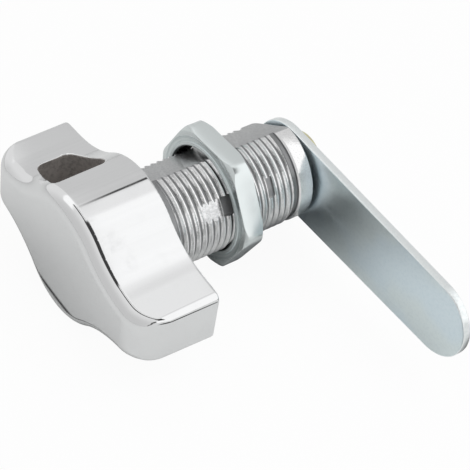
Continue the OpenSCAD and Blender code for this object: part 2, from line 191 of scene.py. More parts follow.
def calc(tree, operation, *values):
    node = tree.nodes.new("ShaderNodeMath")
    node.operation = operation
    for socket, value in zip(node.inputs, values):
        feed(tree, socket, value)
    return node.outputs[0]

def smooth_step(tree, value, low, high):
    """0 below low and 1 above high, with a soft change between them."""
    node = add_node(tree, "ShaderNodeMapRange", {"interpolation_type": "SMOOTHSTEP"},
                    Value=value, From_Min=low, From_Max=high)
    return node.outputs["Result"]

def new_group(name, kind, inputs, outputs):
    tree = bpy.data.node_groups.new(name, kind)
    for title, socket in inputs.items():
        tree.interface.new_socket(title, in_out="INPUT", socket_type=socket)
    for title, socket in outputs.items():
        tree.interface.new_socket(title, in_out="OUTPUT", socket_type=socket)
    return tree, tree.nodes.new("NodeGroupInput").outputs, tree.nodes.new("NodeGroupOutput").inputs

# %% [markdown]
# ## Shared surface effects
# Three effects come back on several finishes. A die casting has a fine skin and soft waves under its
# plating. A turned face has rings round the lock's axis. A rolled strip has long faint streaks. Each is a
# shader node group that puts out a height for a bump and a mask for the roughness.

# %% The skin of a casting
def make_casting_skin():
    tree, given, out = new_group(
        "casting_skin", "ShaderNodeTree",
        {"Place": "NodeSocketVector", "Grain": "NodeSocketFloat", "Wave": "NodeSocketFloat"},
        {"Grain Height": "NodeSocketFloat", "Wave Height": "NodeSocketFloat", "Mask": "NodeSocketFloat"})
    grain = add_node(tree, "ShaderNodeTexNoise", Vector=given["Place"], Scale=given["Grain"],
                     Detail=3.0, Roughness=0.6)
    wave = add_node(tree, "ShaderNodeTexNoise", Vector=given["Place"], Scale=given["Wave"],
                    Detail=1.0, Roughness=0.4)
    feed(tree, out["Grain Height"], grain.outputs["Fac"])
    feed(tree, out["Wave Height"], wave.outputs["Fac"])
    feed(tree, out["Mask"], smooth_step(tree, grain.outputs["Fac"], 0.42, 0.68))
    return tree

casting_skin = make_casting_skin()

# %% Rings left by turning
def from_axis(tree, place):
    """Distance of a place from the lock's axis."""
    parts = add_node(tree, "ShaderNodeSeparateXYZ", Vector=place).outputs
    return calc(tree, "SQRT", calc(tree, "MULTIPLY_ADD", parts["X"], parts["X"],
                                   calc(tree, "MULTIPLY", parts["Z"], parts["Z"])))

def make_turned_rings():
    tree, given, out = new_group(
        "turned_rings", "ShaderNodeTree",
        {"Place": "NodeSocketVector", "Rings": "NodeSocketFloat", "Reach": "NodeSocketFloat"},
        {"Height": "NodeSocketFloat", "Mask": "NodeSocketFloat", "Faced": "NodeSocketFloat"})
    radius = from_axis(tree, given["Place"])
    rings = add_node(tree, "ShaderNodeTexNoise", {"noise_dimensions": "1D"}, W=radius,
                     Scale=given["Rings"], Detail=2.0, Roughness=0.7)
    faced = smooth_step(tree, radius, given["Reach"], calc(tree, "MULTIPLY", given["Reach"], 0.98))
    feed(tree, out["Height"], calc(tree, "MULTIPLY", rings.outputs["Fac"], faced))
    feed(tree, out["Mask"], calc(tree, "MULTIPLY", smooth_step(tree, rings.outputs["Fac"], 0.35, 0.7), faced))
    feed(tree, out["Faced"], faced)
    return tree

turned_rings = make_turned_rings()

# %% Streaks left by rolling
def make_rolled_streaks():
    tree, given, out = new_group(
        "rolled_streaks", "ShaderNodeTree",
        {"Place": "NodeSocketVector", "Streaks": "NodeSocketFloat", "Stretch": "NodeSocketFloat"},
        {"Height": "NodeSocketFloat", "Mask": "NodeSocketFloat"})
    squeeze = add_node(tree, "ShaderNodeCombineXYZ", X=calc(tree, "DIVIDE", 1.0, given["Stretch"]),
                       Y=1.0, Z=1.0)
    drawn = add_node(tree, "ShaderNodeVectorMath", {"operation": "MULTIPLY"})
    feed(tree, drawn.inputs[0], given["Place"])
    feed(tree, drawn.inputs[1], squeeze.outputs[0])
    streaks = add_node(tree, "ShaderNodeTexNoise", Vector=drawn.outputs[0], Scale=given["Streaks"],
                       Detail=4.0, Roughness=0.65)
    feed(tree, out["Height"], streaks.outputs["Fac"])
    feed(tree, out["Mask"], smooth_step(tree, streaks.outputs["Fac"], 0.35, 0.7))
    return tree

rolled_streaks = make_rolled_streaks()
print("effects:", [tree.name for tree in (casting_skin, turned_rings, rolled_streaks)])

# %% [markdown]
# ## Finishes
# Plated metal is nearly all reflection, so its colour is the tint of the reflection and its roughness says
# how sharp it is. The chrome on the knob is a mirror with soft waves, but dull in the deep cuts, where no
# polishing wheel reaches. The barrel has bright plating over a rougher casting, and its thread has painted
# shade: it is coloured darker towards the root. Nut and cam are zinc plated, which is duller and a little
# blue.
# The nut's bore is coloured near black as painted shade, and the cam's punched edge is coloured brighter as
# a painted highlight. The screw and its washer are yellow passivated zinc. A picture could be laid over each
# piece instead, but noise that is read at the place itself needs no unwrapping and shows no seam.

# %% Build a metal from its tint, its roughness and its effects
def new_material(name):
    material = bpy.data.materials.new(name)
    material.use_nodes = True
    tree = material.node_tree
    place = tree.nodes.new("ShaderNodeTexCoord").outputs["Object"]
    return material, tree, first_node(tree, "BSDF_PRINCIPLED"), place

def place_group(tree, group, **inputs):
    return add_node(tree, "ShaderNodeGroup", {"node_tree": group}, **inputs).outputs

def bumped(tree, height, distance, below=None):
    """A bump as deep as distance. A bump that is given as below lies under it."""
    node = add_node(tree, "ShaderNodeBump", Height=height, Distance=distance, Strength=1.0)
    if below is not None:
        feed(tree, node.inputs["Normal"], below)
    return node.outputs["Normal"]

def blend_number(tree, mask, low, high):
    return add_node(tree, "ShaderNodeMapRange", Value=mask, To_Min=low, To_Max=high).outputs["Result"]

def blend_colour(tree, mask, first, second):
    node = tree.nodes.new("ShaderNodeMix")
    node.data_type = "RGBA"
    feed(tree, node.inputs["Factor"], mask)
    for socket, colour in zip((node.inputs[6], node.inputs[7]), (first, second)):
        feed(tree, socket, (*colour, 1) if isinstance(colour, tuple) else colour)
    return node.outputs[2]

# %% Chrome for the knob
def make_chrome_plate():
    material, tree, shader, place = new_material("chrome_plate")
    skin = place_group(tree, casting_skin, Place=place, Grain=1400.0, Wave=110.0)
    stain = add_node(tree, "ShaderNodeTexNoise", Vector=place, Scale=260.0, Detail=4.0).outputs["Fac"]
    haze = smooth_step(tree, stain, 0.5, 0.75)
    bright = blend_colour(tree, haze, (0.86, 0.865, 0.87), (0.84, 0.845, 0.85))
    dull = blend_colour(tree, skin["Mask"], (0.44, 0.41, 0.39), (0.31, 0.29, 0.275))
    depth = add_node(tree, "ShaderNodeAttribute", {"attribute_name": "cut_depth"}).outputs["Fac"]
    hidden = smooth_step(tree, depth, -0.14 * MM, -0.02 * MM)
    feed(tree, shader.inputs["Base Color"], blend_colour(tree, hidden, bright, dull))
    feed(tree, shader.inputs["Metallic"], blend_number(tree, hidden, 1.0, 0.4))
    polish = blend_number(tree, haze, 0.045, 0.085)
    feed(tree, shader.inputs["Roughness"], calc(tree, "MULTIPLY_ADD", hidden, 0.35, polish))
    waves = bumped(tree, skin["Wave Height"], 0.014 * MM)
    feed(tree, shader.inputs["Normal"], bumped(tree, skin["Grain Height"], 0.0006 * MM, waves))
    return material

chrome_plate = make_chrome_plate()

# %% Bright plating over a rougher casting, for the barrel
def make_nickel_plate():
    material, tree, shader, place = new_material("nickel_plate")
    skin = place_group(tree, casting_skin, Place=place, Grain=4800.0, Wave=900.0)
    radius = from_axis(tree, place)
    # Painted shade: towards the thread's root the colour turns dark, where shade falls in the groove.
    clear_of_painted_root_shade = smooth_step(tree, radius, barrel_radius - 0.58 * MM, barrel_radius - 0.36 * MM)
    bright = calc(tree, "MULTIPLY", clear_of_painted_root_shade, calc(tree, "MULTIPLY_ADD", skin["Mask"], -0.22, 1.0))
    feed(tree, shader.inputs["Base Color"],
         blend_colour(tree, bright, (0.30, 0.305, 0.31), (0.99, 0.99, 0.99)))
    # Painted shade as well: the root is made less metallic, so it reflects less.
    deep = smooth_step(tree, radius, barrel_radius - 0.62 * MM, barrel_radius - 0.75 * MM)
    feed(tree, shader.inputs["Metallic"], blend_number(tree, deep, 1.0, 0.3))
    feed(tree, shader.inputs["Roughness"], blend_number(tree, bright, 0.32, 0.21))
    waves = bumped(tree, skin["Wave Height"], 0.05 * MM)
    feed(tree, shader.inputs["Normal"], bumped(tree, skin["Grain Height"], 0.010 * MM, waves))
    return material

nickel_plate = make_nickel_plate()

# %% A finish that only has the skin of a casting
def make_skin_finish(name, grain, wave, tints, roughness, bumps, metallic=1.0):
    """Tint and roughness change with the skin's mask. Each bump is a height and its depth, over the last."""
    material, tree, shader, place = new_material(name)
    skin = place_group(tree, casting_skin, Place=place, Grain=grain, Wave=wave)
    feed(tree, shader.inputs["Base Color"], blend_colour(tree, skin["Mask"], *tints))
    shader.inputs["Metallic"].default_value = metallic
    feed(tree, shader.inputs["Roughness"], blend_number(tree, skin["Mask"], *roughness))
    surface = None
    for height, depth in bumps:
        surface = bumped(tree, skin[height], depth, surface)
    feed(tree, shader.inputs["Normal"], surface)
    return material

# %% The barrel's broached flat, and the bright, uneven bottom of its small window
satin_plate = make_skin_finish(
    "satin_plate", grain=2600.0, wave=300.0, tints=((0.53, 0.535, 0.54), (0.46, 0.465, 0.47)),
    roughness=(0.36, 0.5), bumps=[("Grain Height", 0.006 * MM)])
window_plate = make_skin_finish(
    "window_plate", grain=2900.0, wave=800.0, tints=((0.88, 0.885, 0.89), (0.74, 0.745, 0.75)),
    roughness=(0.26, 0.4), bumps=[("Wave Height", 0.08 * MM), ("Grain Height", 0.02 * MM)])

# %% Zinc plating on the turned nut
def make_nut_zinc():
    material, tree, shader, place = new_material("nut_zinc")
    rings = place_group(tree, turned_rings, Place=place, Rings=2600.0, Reach=11.6 * MM)
    skin = place_group(tree, casting_skin, Place=place, Grain=1900.0, Wave=330.0)
    plated = blend_colour(tree, rings["Mask"], (0.80, 0.85, 0.85), (0.58, 0.645, 0.65))
    # Painted shade: inside the bore, where nut and barrel meet, the colour is near black.
    outside = smooth_step(tree, from_axis(tree, place), barrel_radius + 0.2 * MM, barrel_radius + 0.5 * MM)
    feed(tree, shader.inputs["Base Color"], blend_colour(tree, outside, (0.10, 0.11, 0.11), plated))
    shader.inputs["Metallic"].default_value = 1.0
    feed(tree, shader.inputs["Roughness"], blend_number(tree, rings["Faced"], 0.24, 0.3))
    soft = bumped(tree, skin["Wave Height"], 0.03 * MM)
    feed(tree, shader.inputs["Normal"], bumped(tree, rings["Height"], 0.02 * MM, soft))
    return material

nut_zinc = make_nut_zinc()

# %% Zinc plating on the pressed cam and the inner plates
def make_sheet_zinc():
    material, tree, shader, place = new_material("sheet_zinc")
    streaks = place_group(tree, rolled_streaks, Place=place, Streaks=900.0, Stretch=9.0)
    skin = place_group(tree, casting_skin, Place=place, Grain=1500.0, Wave=90.0)
    clouds = smooth_step(tree, skin["Wave Height"], 0.40, 0.64)
    tinted = blend_colour(tree, clouds, (0.80, 0.905, 0.955), (0.83, 0.915, 0.925))
    worn = blend_colour(tree, clouds, (0.76, 0.87, 0.925), (0.79, 0.875, 0.89))
    feed(tree, shader.inputs["Base Color"], blend_colour(tree, skin["Mask"], tinted, worn))
    shader.inputs["Metallic"].default_value = 1.0
    feed(tree, shader.inputs["Roughness"], blend_number(tree, streaks["Mask"], 0.33, 0.38))
    soft = bumped(tree, skin["Wave Height"], 0.04 * MM)
    feed(tree, shader.inputs["Normal"], bumped(tree, streaks["Height"], 0.0003 * MM, soft))
    return material

sheet_zinc = make_sheet_zinc()

# %% The cam's punched edge, coloured brighter than its faces as a painted highlight
edge_highlight_zinc = make_skin_finish(
    "edge_highlight_zinc", grain=1800.0, wave=500.0, tints=((0.95, 0.985, 0.985), (0.88, 0.925, 0.93)),
    roughness=(0.28, 0.4), bumps=[("Wave Height", 0.03 * MM)])

# %% Yellow zinc on the screw and its washer
def make_yellow_zinc():
    material, tree, shader, place = new_material("yellow_zinc")
    skin = place_group(tree, casting_skin, Place=place, Grain=2100.0, Wave=420.0)
    tint = add_node(tree, "ShaderNodeTexNoise", Vector=place, Scale=420.0, Detail=3.0).outputs["Fac"]
    feed(tree, shader.inputs["Base Color"],
         blend_colour(tree, smooth_step(tree, tint, 0.4, 0.65), (0.80, 0.77, 0.48), (0.78, 0.70, 0.50)))
    shader.inputs["Metallic"].default_value = 1.0
    feed(tree, shader.inputs["Roughness"], blend_number(tree, skin["Mask"], 0.18, 0.32))
    feed(tree, shader.inputs["Normal"], bumped(tree, skin["Wave Height"], 0.02 * MM))
    return material

yellow_zinc = make_yellow_zinc()

# %% Plain steel and oiled rubber for the pieces inside
def make_plain_steel():
    material, tree, shader, place = new_material("plain_steel")
    streaks = place_group(tree, rolled_streaks, Place=place, Streaks=2400.0, Stretch=5.0)
    feed(tree, shader.inputs["Base Color"],
         blend_colour(tree, streaks["Mask"], (0.56, 0.565, 0.57), (0.45, 0.455, 0.46)))
    shader.inputs["Metallic"].default_value = 1.0
    feed(tree, shader.inputs["Roughness"], blend_number(tree, streaks["Mask"], 0.26, 0.42))
    feed(tree, shader.inputs["Normal"], bumped(tree, streaks["Height"], 0.004 * MM))
    return material

plain_steel = make_plain_steel()
seal_rubber = make_skin_finish(
    "seal_rubber", grain=3000.0, wave=500.0, tints=((0.022, 0.022, 0.023), (0.05, 0.05, 0.05)),
    roughness=(0.35, 0.6), bumps=[("Grain Height", 0.01 * MM)], metallic=0.0)
print("finishes:", sorted(material.name for material in bpy.data.materials))

# %% [markdown]
# ## Forms from a distance formula
# The knob is a polished casting, and a mirror shows every fault in a mesh. So it isn't cut and bevelled.
# It is written as a signed distance: how far a point lies outside the metal. Cutting and rounding are then
# one line each, and every edge gets a true round. A net is drawn where the distance changes sign, each of
# its points is moved exactly onto the surface, and the slope of the formula gives the normals.

# %% Join and cut distances with a rounded edge
def joined(first, second, radius):
    """What lies inside both forms, with a round of that radius along their common edge."""
    corner = np.hypot(np.maximum(first + radius, 0), np.maximum(second + radius, 0))
    return np.minimum(np.maximum(first, second), -radius) + corner

def cut_by(form, cutter, radius):
    return joined(form, -cutter, radius)

def slope_of(form, points):
    """How fast the distance grows along each axis, one vector for each point."""
    reach = 0.01 * MM
    steps = np.eye(3) * reach
    return np.stack([form(*(points + step).T) - form(*(points - step).T) for step in steps], 1) / (2 * reach)

# %% Draw a net where a form's distance changes sign
def net_of(form, low, high, step):
    """Points and four-sided faces of a closed net round the form, with one point for each crossed cell."""
    axes = [np.arange(a - 2 * step, b + 3 * step, step) for a, b in zip(low, high)]
    values = form(*np.meshgrid(*axes, indexing="ij"))
    cells = tuple(n - 1 for n in values.shape)
    total, number = np.zeros(cells + (3,)), np.zeros(cells)
    crossings = []
    for axis in range(3):
        lower = values.take(range(cells[axis]), axis)
        upper = values.take(range(1, cells[axis] + 1), axis)
        crossed = (lower < 0) != (upper < 0)
        share = np.where(crossed, lower / np.where(crossed, lower - upper, 1), 0)
        spot = np.stack(np.indices(lower.shape).astype(float), -1)
        spot[..., axis] += share
        others = [other for other in range(3) if other != axis]
        for shift in itertools.product((0, 1), repeat=2):
            window = [slice(None)] * 3
            for other, start in zip(others, shift):
                window[other] = slice(start, start + cells[other])
            seen = crossed[tuple(window)]
            total += spot[tuple(window)] * seen[..., None]
            number += seen
        crossings.append((crossed, lower < 0, others))
    used = number > 0
    index = np.full(cells, -1)
    index[used] = np.arange(used.sum())
    points = total[used] / number[used][:, None] * step + [axis[0] for axis in axes]
    faces = []
    for axis, (crossed, inside, others) in enumerate(crossings):
        place = np.argwhere(crossed)
        ring = [place.copy() for _ in range(4)]
        for corner, (back_first, back_second) in zip(ring, ((1, 1), (0, 1), (0, 0), (1, 0))):
            corner[:, others[0]] -= back_first
            corner[:, others[1]] -= back_second
        quads = np.stack([index[tuple(corner.T)] for corner in ring], 1)
        outward = inside[tuple(place.T)] ^ (axis == 1)
        faces.append(np.where(outward[:, None], quads, quads[:, ::-1]))
    return points, np.concatenate(faces)

# %% Turn a form into a smooth piece
def cast_form(name, form, low, high, step):
    points, faces = net_of(form, low, high, step)
    for _ in range(5):
        slope = slope_of(form, points)
        steepness = np.maximum((slope ** 2).sum(axis=1), 0.25)
        points -= slope * (form(*points.T) / steepness)[:, None]
    mesh = mesh_from(name, points, faces)
    mesh.shade_smooth()
    slope = slope_of(form, points)
    mesh.normals_split_custom_set_from_vertices(slope / np.linalg.norm(slope, axis=1, keepdims=True))
    print(f"{name}: {len(points)} points at {step / MM:.2f} mm")
    return object_from(mesh)

# %% [markdown]
# ## The knob
# Seen from the front, the knob is a disc with two wings, joined by hollow curves. The outline is made of a
# tip, a corner, a flank, a hollow and the disc, and the nearest of them gives the distance. The sides lean
# in a little towards the front, as a casting's do. The face is part of a large cylinder, and it turns down
# to the wing tips with a round of its own. The padlock hole comes out through the hollow beside the disc.
# Each point of the finished mesh also stores how deep it lies in a cut, so that the chrome can be dull there.

# %% Main sizes of the knob
tip_x = knob_high.x
bulge_radius = knob_high.z
knob_rear, knob_front = knob_high.y, knob_low.y
wing_tip_half = 5.3 * MM
wing_taper = math.radians(4.5)
wing_corner = 1.5 * MM
waist_fillet = 17.5 * MM
knob_draft = 0.4 * MM
face_round = 2.2 * MM
face_dome = 0.7 * MM
tip_round = 5.4 * MM
rear_round = 0.4 * MM
dome_radius = (tip_x ** 2 + face_dome ** 2) / (2 * face_dome)
print("knob in mm:", [round(v / MM, 1) for v in (2 * tip_x, 2 * bulge_radius, knob_rear - knob_front)])

# %% Distance from the knob's outline
flank_reach = tip_x * math.sin(wing_taper) + wing_tip_half * math.cos(wing_taper)
corner_x = tip_x - wing_corner
corner_z = (flank_reach - wing_corner - math.sin(wing_taper) * corner_x) / math.cos(wing_taper)
hollow_off = flank_reach + waist_fillet
hollow_along = math.sqrt((bulge_radius + waist_fillet) ** 2 - hollow_off ** 2)
hollow_x = hollow_off * math.sin(wing_taper) + hollow_along * math.cos(wing_taper)
hollow_z = hollow_off * math.cos(wing_taper) - hollow_along * math.sin(wing_taper)
bulge_from = math.atan2(hollow_z, hollow_x)

def outline_distance(x, z):
    x, z = np.abs(x), np.abs(z)
    along = x * math.cos(wing_taper) - z * math.sin(wing_taper)
    corner_along = corner_x * math.cos(wing_taper) - corner_z * math.sin(wing_taper)
    from_corner = np.arctan2(z - corner_z, x - corner_x)
    from_hollow = np.arctan2(hollow_z - z, hollow_x - x)
    parts = [
        (z <= corner_z, x - tip_x),
        ((from_corner >= 0) & (from_corner <= math.pi / 2 - wing_taper),
         np.hypot(x - corner_x, z - corner_z) - wing_corner),
        ((along >= hollow_along) & (along <= corner_along),
         x * math.sin(wing_taper) + z * math.cos(wing_taper) - flank_reach),
        ((from_hollow >= bulge_from) & (from_hollow <= math.pi / 2 - wing_taper),
         waist_fillet - np.hypot(x - hollow_x, z - hollow_z)),
        (np.arctan2(z, x) >= bulge_from, np.hypot(x, z) - bulge_radius),
    ]
    best = np.full(x.shape, 1.0)
    for applies, distance in parts:
        best = np.where(applies & (np.abs(distance) < np.abs(best)), distance, best)
    return best

# %% The padlock hole through one wing
hole_inner_x, hole_outer_x = -5.6 * MM, -15.3 * MM
hole_inner_rear, hole_inner_front = -3.6 * MM, -14.1 * MM
hole_outer_rear, hole_outer_front = -4.9 * MM, -11.2 * MM
hole_corner = 1.2 * MM
hole_bow = 0.8 * MM
hole_rim = 0.22 * MM

def beyond_line(x, y, start, end):
    """How far a point lies to the left of the line from start to end."""
    length = math.dist(start, end)
    step_x, step_y = (end[0] - start[0]) / length, (end[1] - start[1]) / length
    return step_x * (y - start[1]) - step_y * (x - start[0])

def padlock_hole(x, y):
    across = np.maximum(x - hole_inner_x, hole_outer_x - x)
    share = np.clip((x - hole_outer_x) / (hole_inner_x - hole_outer_x), 0, 1)
    bow = hole_bow * np.sin(math.pi * share)
    rear = beyond_line(x, y, (hole_outer_x, hole_outer_rear), (hole_inner_x, hole_inner_rear)) - bow
    front = beyond_line(x, y, (hole_inner_x, hole_inner_front), (hole_outer_x, hole_outer_front))
    return joined(across, np.maximum(rear, front), hole_corner)

# %% Everything that is cut from the rear and the underside
small_round = 0.25 * MM
recess_radius = barrel_high.x + 0.3 * MM
recess_floor = barrel_low.y - 0.3 * MM
spindle_half = 3.5 * MM
spindle_depth = 8.45 * MM
core_inner_x, core_outer_x = recess_radius + 2.6 * MM, tip_x - 2.6 * MM
core_half_z, core_depth = 2.7 * MM, 8 * MM
grub_radius = (grub_high.x - grub_low.x) / 2 + 0.05 * MM
grub_y = (grub_high.y + grub_low.y) / 2

def face_place(x):
    past_turn = np.clip(np.abs(x) - (tip_x - tip_round), 0, tip_round)
    fall = dome_radius - np.sqrt(dome_radius ** 2 - x ** 2)
    return knob_front + fall + tip_round - np.sqrt(tip_round ** 2 - past_turn ** 2)

def spindle_hole(x, y, z):
    square = np.maximum(np.abs(x), np.abs(z)) - spindle_half
    return np.maximum(square, recess_floor - spindle_depth - y)

def wing_core(x, y, z):
    core_x = np.maximum(core_inner_x - x, x - core_outer_x)
    return joined(joined(core_x, np.abs(z) - core_half_z, small_round * 2), knob_rear - core_depth - y,
                  small_round * 2)

def unpolished(x, y, z):
    """The deep cuts, which the polishing wheel doesn't reach."""
    return np.maximum(np.maximum(-padlock_hole(x, y), -spindle_hole(x, y, z)), -wing_core(x, y, z))

# %% The whole knob as one form
def knob_form(x, y, z):
    lean = knob_draft / (knob_rear - knob_front - face_round)
    side = outline_distance(x, z) + lean * (knob_rear - y)
    form = joined(joined(side, face_place(x) - y, face_round), y - knob_rear, rear_round)
    form = cut_by(form, padlock_hole(x, y), hole_rim)
    radius = np.hypot(x, z)
    form = cut_by(form, np.maximum(radius - recess_radius, recess_floor - y), small_round)
    form = cut_by(form, spindle_hole(x, y, z), small_round)
    form = cut_by(form, wing_core(x, y, z), small_round)
    grub_hole = np.maximum(np.hypot(x, y - grub_y) - grub_radius, z + spindle_half)
    return cut_by(form, grub_hole, small_round)

# %% Cast the knob
knob_step = 0.29 * MM
knob = cast_form("wing_knob", knob_form, knob_low, knob_high, knob_step)
knob_points = np.array([vertex.co for vertex in knob.data.vertices])
depths = knob.data.attributes.new("cut_depth", "FLOAT", "POINT")
depths.data.foreach_set("value", unpolished(*knob_points.T))
dress(knob, "rotor", chrome_plate, "knob")

# %% [markdown]
# ## The barrel's thread
# A thread is one ridge that climbs round the barrel. It follows a rule, so Geometry Nodes make it: a grid
# is rolled into a tube, its rows run along the helix, and each row's place within one turn sets its
# radius. At both ends the ridge is cut off by a cone and runs out into a groove.

# %% The thread as a Geometry Nodes tree
def make_thread_tree():
    names = ("Crest", "Depth", "Pitch", "Start", "End")
    tree, given, out = new_group(
        "thread_wall", "GeometryNodeTree",
        {**{name: "NodeSocketFloat" for name in names}, "Around": "NodeSocketInt", "Steps": "NodeSocketInt"},
        {"Mesh": "NodeSocketGeometry"})
    turns = calc(tree, "CEIL", calc(tree, "DIVIDE", calc(tree, "SUBTRACT", given["End"], given["Start"]),
                                    given["Pitch"]))
    rows = calc(tree, "MULTIPLY", calc(tree, "ADD", turns, 2.0), given["Steps"])
    grid = add_node(tree, "GeometryNodeMeshGrid", Size_X=1.0, Size_Y=1.0,
                    Vertices_X=calc(tree, "ADD", given["Around"], 1.0),
                    Vertices_Y=calc(tree, "ADD", rows, 1.0))
    place = add_node(tree, "ShaderNodeSeparateXYZ",
                     Vector=tree.nodes.new("GeometryNodeInputPosition").outputs[0]).outputs
    around = calc(tree, "ADD", place["X"], 0.5)
    row = calc(tree, "ROUND", calc(tree, "MULTIPLY", calc(tree, "ADD", place["Y"], 0.5), rows))
    turn = calc(tree, "DIVIDE", row, given["Steps"])
    climbed = calc(tree, "MULTIPLY", calc(tree, "SUBTRACT", calc(tree, "ADD", turn, around), 1.0),
                   given["Pitch"])
    raw = calc(tree, "ADD", given["Start"], climbed)
    kept = calc(tree, "MINIMUM", calc(tree, "MAXIMUM", raw, given["Start"]), given["End"])
    wave = calc(tree, "ABSOLUTE", calc(tree, "MULTIPLY_ADD", calc(tree, "FRACT", turn), 2.0, -1.0))
    ridge = add_node(tree, "ShaderNodeMapRange", Value=wave, From_Min=0.17, From_Max=0.83).outputs["Result"]
    root = calc(tree, "SUBTRACT", given["Crest"], given["Depth"])
    full = calc(tree, "MULTIPLY_ADD", ridge, given["Depth"], root)
    near_start = calc(tree, "ADD", root, calc(tree, "SUBTRACT", raw, given["Start"]))
    near_end = calc(tree, "ADD", root, calc(tree, "SUBTRACT", given["End"], raw))
    cut_off = calc(tree, "MINIMUM", full, calc(tree, "MINIMUM", near_start, near_end))
    radius = calc(tree, "MAXIMUM", cut_off, root)
    angle = calc(tree, "MULTIPLY", around, math.tau)
    sine = calc(tree, "MULTIPLY", calc(tree, "SINE", angle), -1.0)
    cosine = calc(tree, "COSINE", angle)
    rolled = add_node(tree, "ShaderNodeCombineXYZ", X=calc(tree, "MULTIPLY", radius, cosine), Y=kept,
                      Z=calc(tree, "MULTIPLY", radius, sine))
    moved = add_node(tree, "GeometryNodeSetPosition", Geometry=grid.outputs["Mesh"],
                     Position=rolled.outputs[0])
    welded = add_node(tree, "GeometryNodeMergeByDistance", Geometry=moved.outputs[0], Distance=0.001 * MM)
    real = add_node(tree, "GeometryNodeRealizeInstances", Geometry=welded.outputs[0])
    finished = add_node(tree, "GeometryNodeSetMaterial", Geometry=real.outputs[0], Material=nickel_plate)
    feed(tree, out["Mesh"], finished.outputs[0])
    return tree

# %% Turn a tree's result into a plain mesh
def run_tree(name, tree, **values):
    """A plain mesh object with what the tree makes from these values."""
    made = object_from(bpy.data.meshes.new(name))
    modifier = made.modifiers.new("nodes", "NODES")
    modifier.node_group = tree
    for item in tree.interface.items_tree:
        if item.in_out == "INPUT" and item.name in values:
            modifier[item.identifier] = values[item.name]
    settled_mesh(made)
    return made

# %% Make the thread
thread_pitch = 1.27 * MM
thread_depth = 0.6 * MM
groove_width = 0.8 * MM
collar_length = 3.2 * MM
around_steps = 144
steps_per_turn = 12
thread_start = neck_length + groove_width
thread_end = barrel_high.y - collar_length - groove_width
thread_root = barrel_radius - thread_depth
barrel = run_tree("threaded_barrel", make_thread_tree(), Crest=barrel_radius, Depth=thread_depth,
                  Pitch=thread_pitch, Start=thread_start, End=thread_end, Around=around_steps,
                  Steps=steps_per_turn)
print(f"thread: {(thread_end - thread_start) / thread_pitch:.1f} turns, {len(barrel.data.polygons)} faces")

# %% Helpers that spin a profile and carve with blocks
def spun(profile, columns):
    """Points and faces of an open profile of (place, radius) pairs, spun round the lock's axis."""
    points = [(r * math.cos(math.tau * k / columns), y, -r * math.sin(math.tau * k / columns))
              for k in range(columns) for y, r in profile]
    rows = len(profile)
    faces = [(k * rows + i, k * rows + i + 1, (k + 1) % columns * rows + i + 1, (k + 1) % columns * rows + i)
             for k in range(columns) for i in range(rows - 1)]
    return points, faces

def block(name, low, high, angle=0.0):
    """A cutter's box. Its +X side is turned to face that angle, from +X towards +Z."""
    corners = [Vector(c) for c in itertools.product(*zip(low, high))]
    turn = Matrix.Rotation(-angle, 3, "Y")
    faces = [(0, 1, 3, 2), (4, 6, 7, 5), (0, 4, 5, 1), (2, 3, 7, 6), (0, 2, 6, 4), (1, 5, 7, 3)]
    mesh = mesh_from(name, [turn @ c for c in corners], faces)
    turn_outwards(mesh)
    return object_from(mesh)

def carve(made, cutters):
    for cutter in cutters:
        modifier = made.modifiers.new(cutter.name, "BOOLEAN")
        modifier.operation = "DIFFERENCE"
        modifier.solver = "MANIFOLD"
        modifier.object = cutter
    settled_mesh(made)
    for cutter in cutters:
        bpy.data.objects.remove(cutter)

# %% [markdown]
# ## The rest of the barrel
# The flange, the neck, the bore and the collar at the rear are turned, so one profile is spun. Its first
# and last points lie on the thread's own end rings, where the two meshes are welded. The flat and the
# marks that the casting die leaves are carved at the end, right through the thread, as on the real one.

# %% Spin the plain parts and weld them to the thread
edge = 0.25 * MM
flange_radius, flange_front = barrel_high.x, barrel_low.y
bore_radius = 4.05 * MM
pocket_radius, pocket_floor = 7 * MM, barrel_high.y - 2.5 * MM
barrel_end = barrel_high.y
collar_start = barrel_end - collar_length
barrel_profile = [
    (thread_start, thread_root), (neck_length, thread_root), (neck_length, barrel_radius - edge),
    (neck_length - edge, barrel_radius), (0, barrel_radius), (0, flange_radius - edge),
    (-edge, flange_radius), (flange_front + edge, flange_radius), (flange_front, flange_radius - edge),
    (flange_front, bore_radius + edge), (flange_front + edge, bore_radius), (pocket_floor, bore_radius),
    (pocket_floor, pocket_radius), (barrel_end - edge, pocket_radius), (barrel_end, pocket_radius + edge),
    (barrel_end, barrel_radius - 2 * edge), (barrel_end - 0.6 * edge, barrel_radius - 0.8 * edge),
    (barrel_end - 2 * edge, barrel_radius), (collar_start + edge, barrel_radius),
    (collar_start, barrel_radius - edge), (collar_start, thread_root), (thread_end, thread_root),
]

def weld_barrel():
    work = bmesh.new()
    work.from_mesh(barrel.data)
    work.from_mesh(mesh_from("plain_parts", *spun(barrel_profile, around_steps)))
    bmesh.ops.remove_doubles(work, verts=work.verts, dist=0.002 * MM)
    bmesh.ops.recalc_face_normals(work, faces=work.faces)
    open_edges = sum(1 for line in work.edges if not line.is_manifold)
    work.to_mesh(barrel.data)
    work.free()
    turn_outwards(barrel.data)
    return open_edges

print("open edges after welding:", weld_barrel())

# %% Carve the flat and the sunk marks
flat_height = 7.6 * MM
flat_angle = math.radians(125)
mark_angle = flat_angle - math.radians(90)
mark_half = 1.8 * MM
far = 3 * barrel_radius
sunk_marks = {  # start, length and depth in mm
    "window": (7.3, 4.0, 0.7),
    "deep_pocket": (11.6, 2.6, 1.6),
    "short_mark": (21.0, 1.3, 0.7),
}

cutters = [block("flat", (flat_height, 0.01 * MM, -far), (far, barrel_end + 1 * MM, far), flat_angle)]
for title, (start, length, depth) in sunk_marks.items():
    cutters.append(block(title, (barrel_radius - depth * MM, start * MM, -mark_half),
                         (far, (start + length) * MM, mark_half), mark_angle))
carve(barrel, cutters)

def towards(angle):
    return Vector((math.cos(angle), 0, math.sin(angle)))

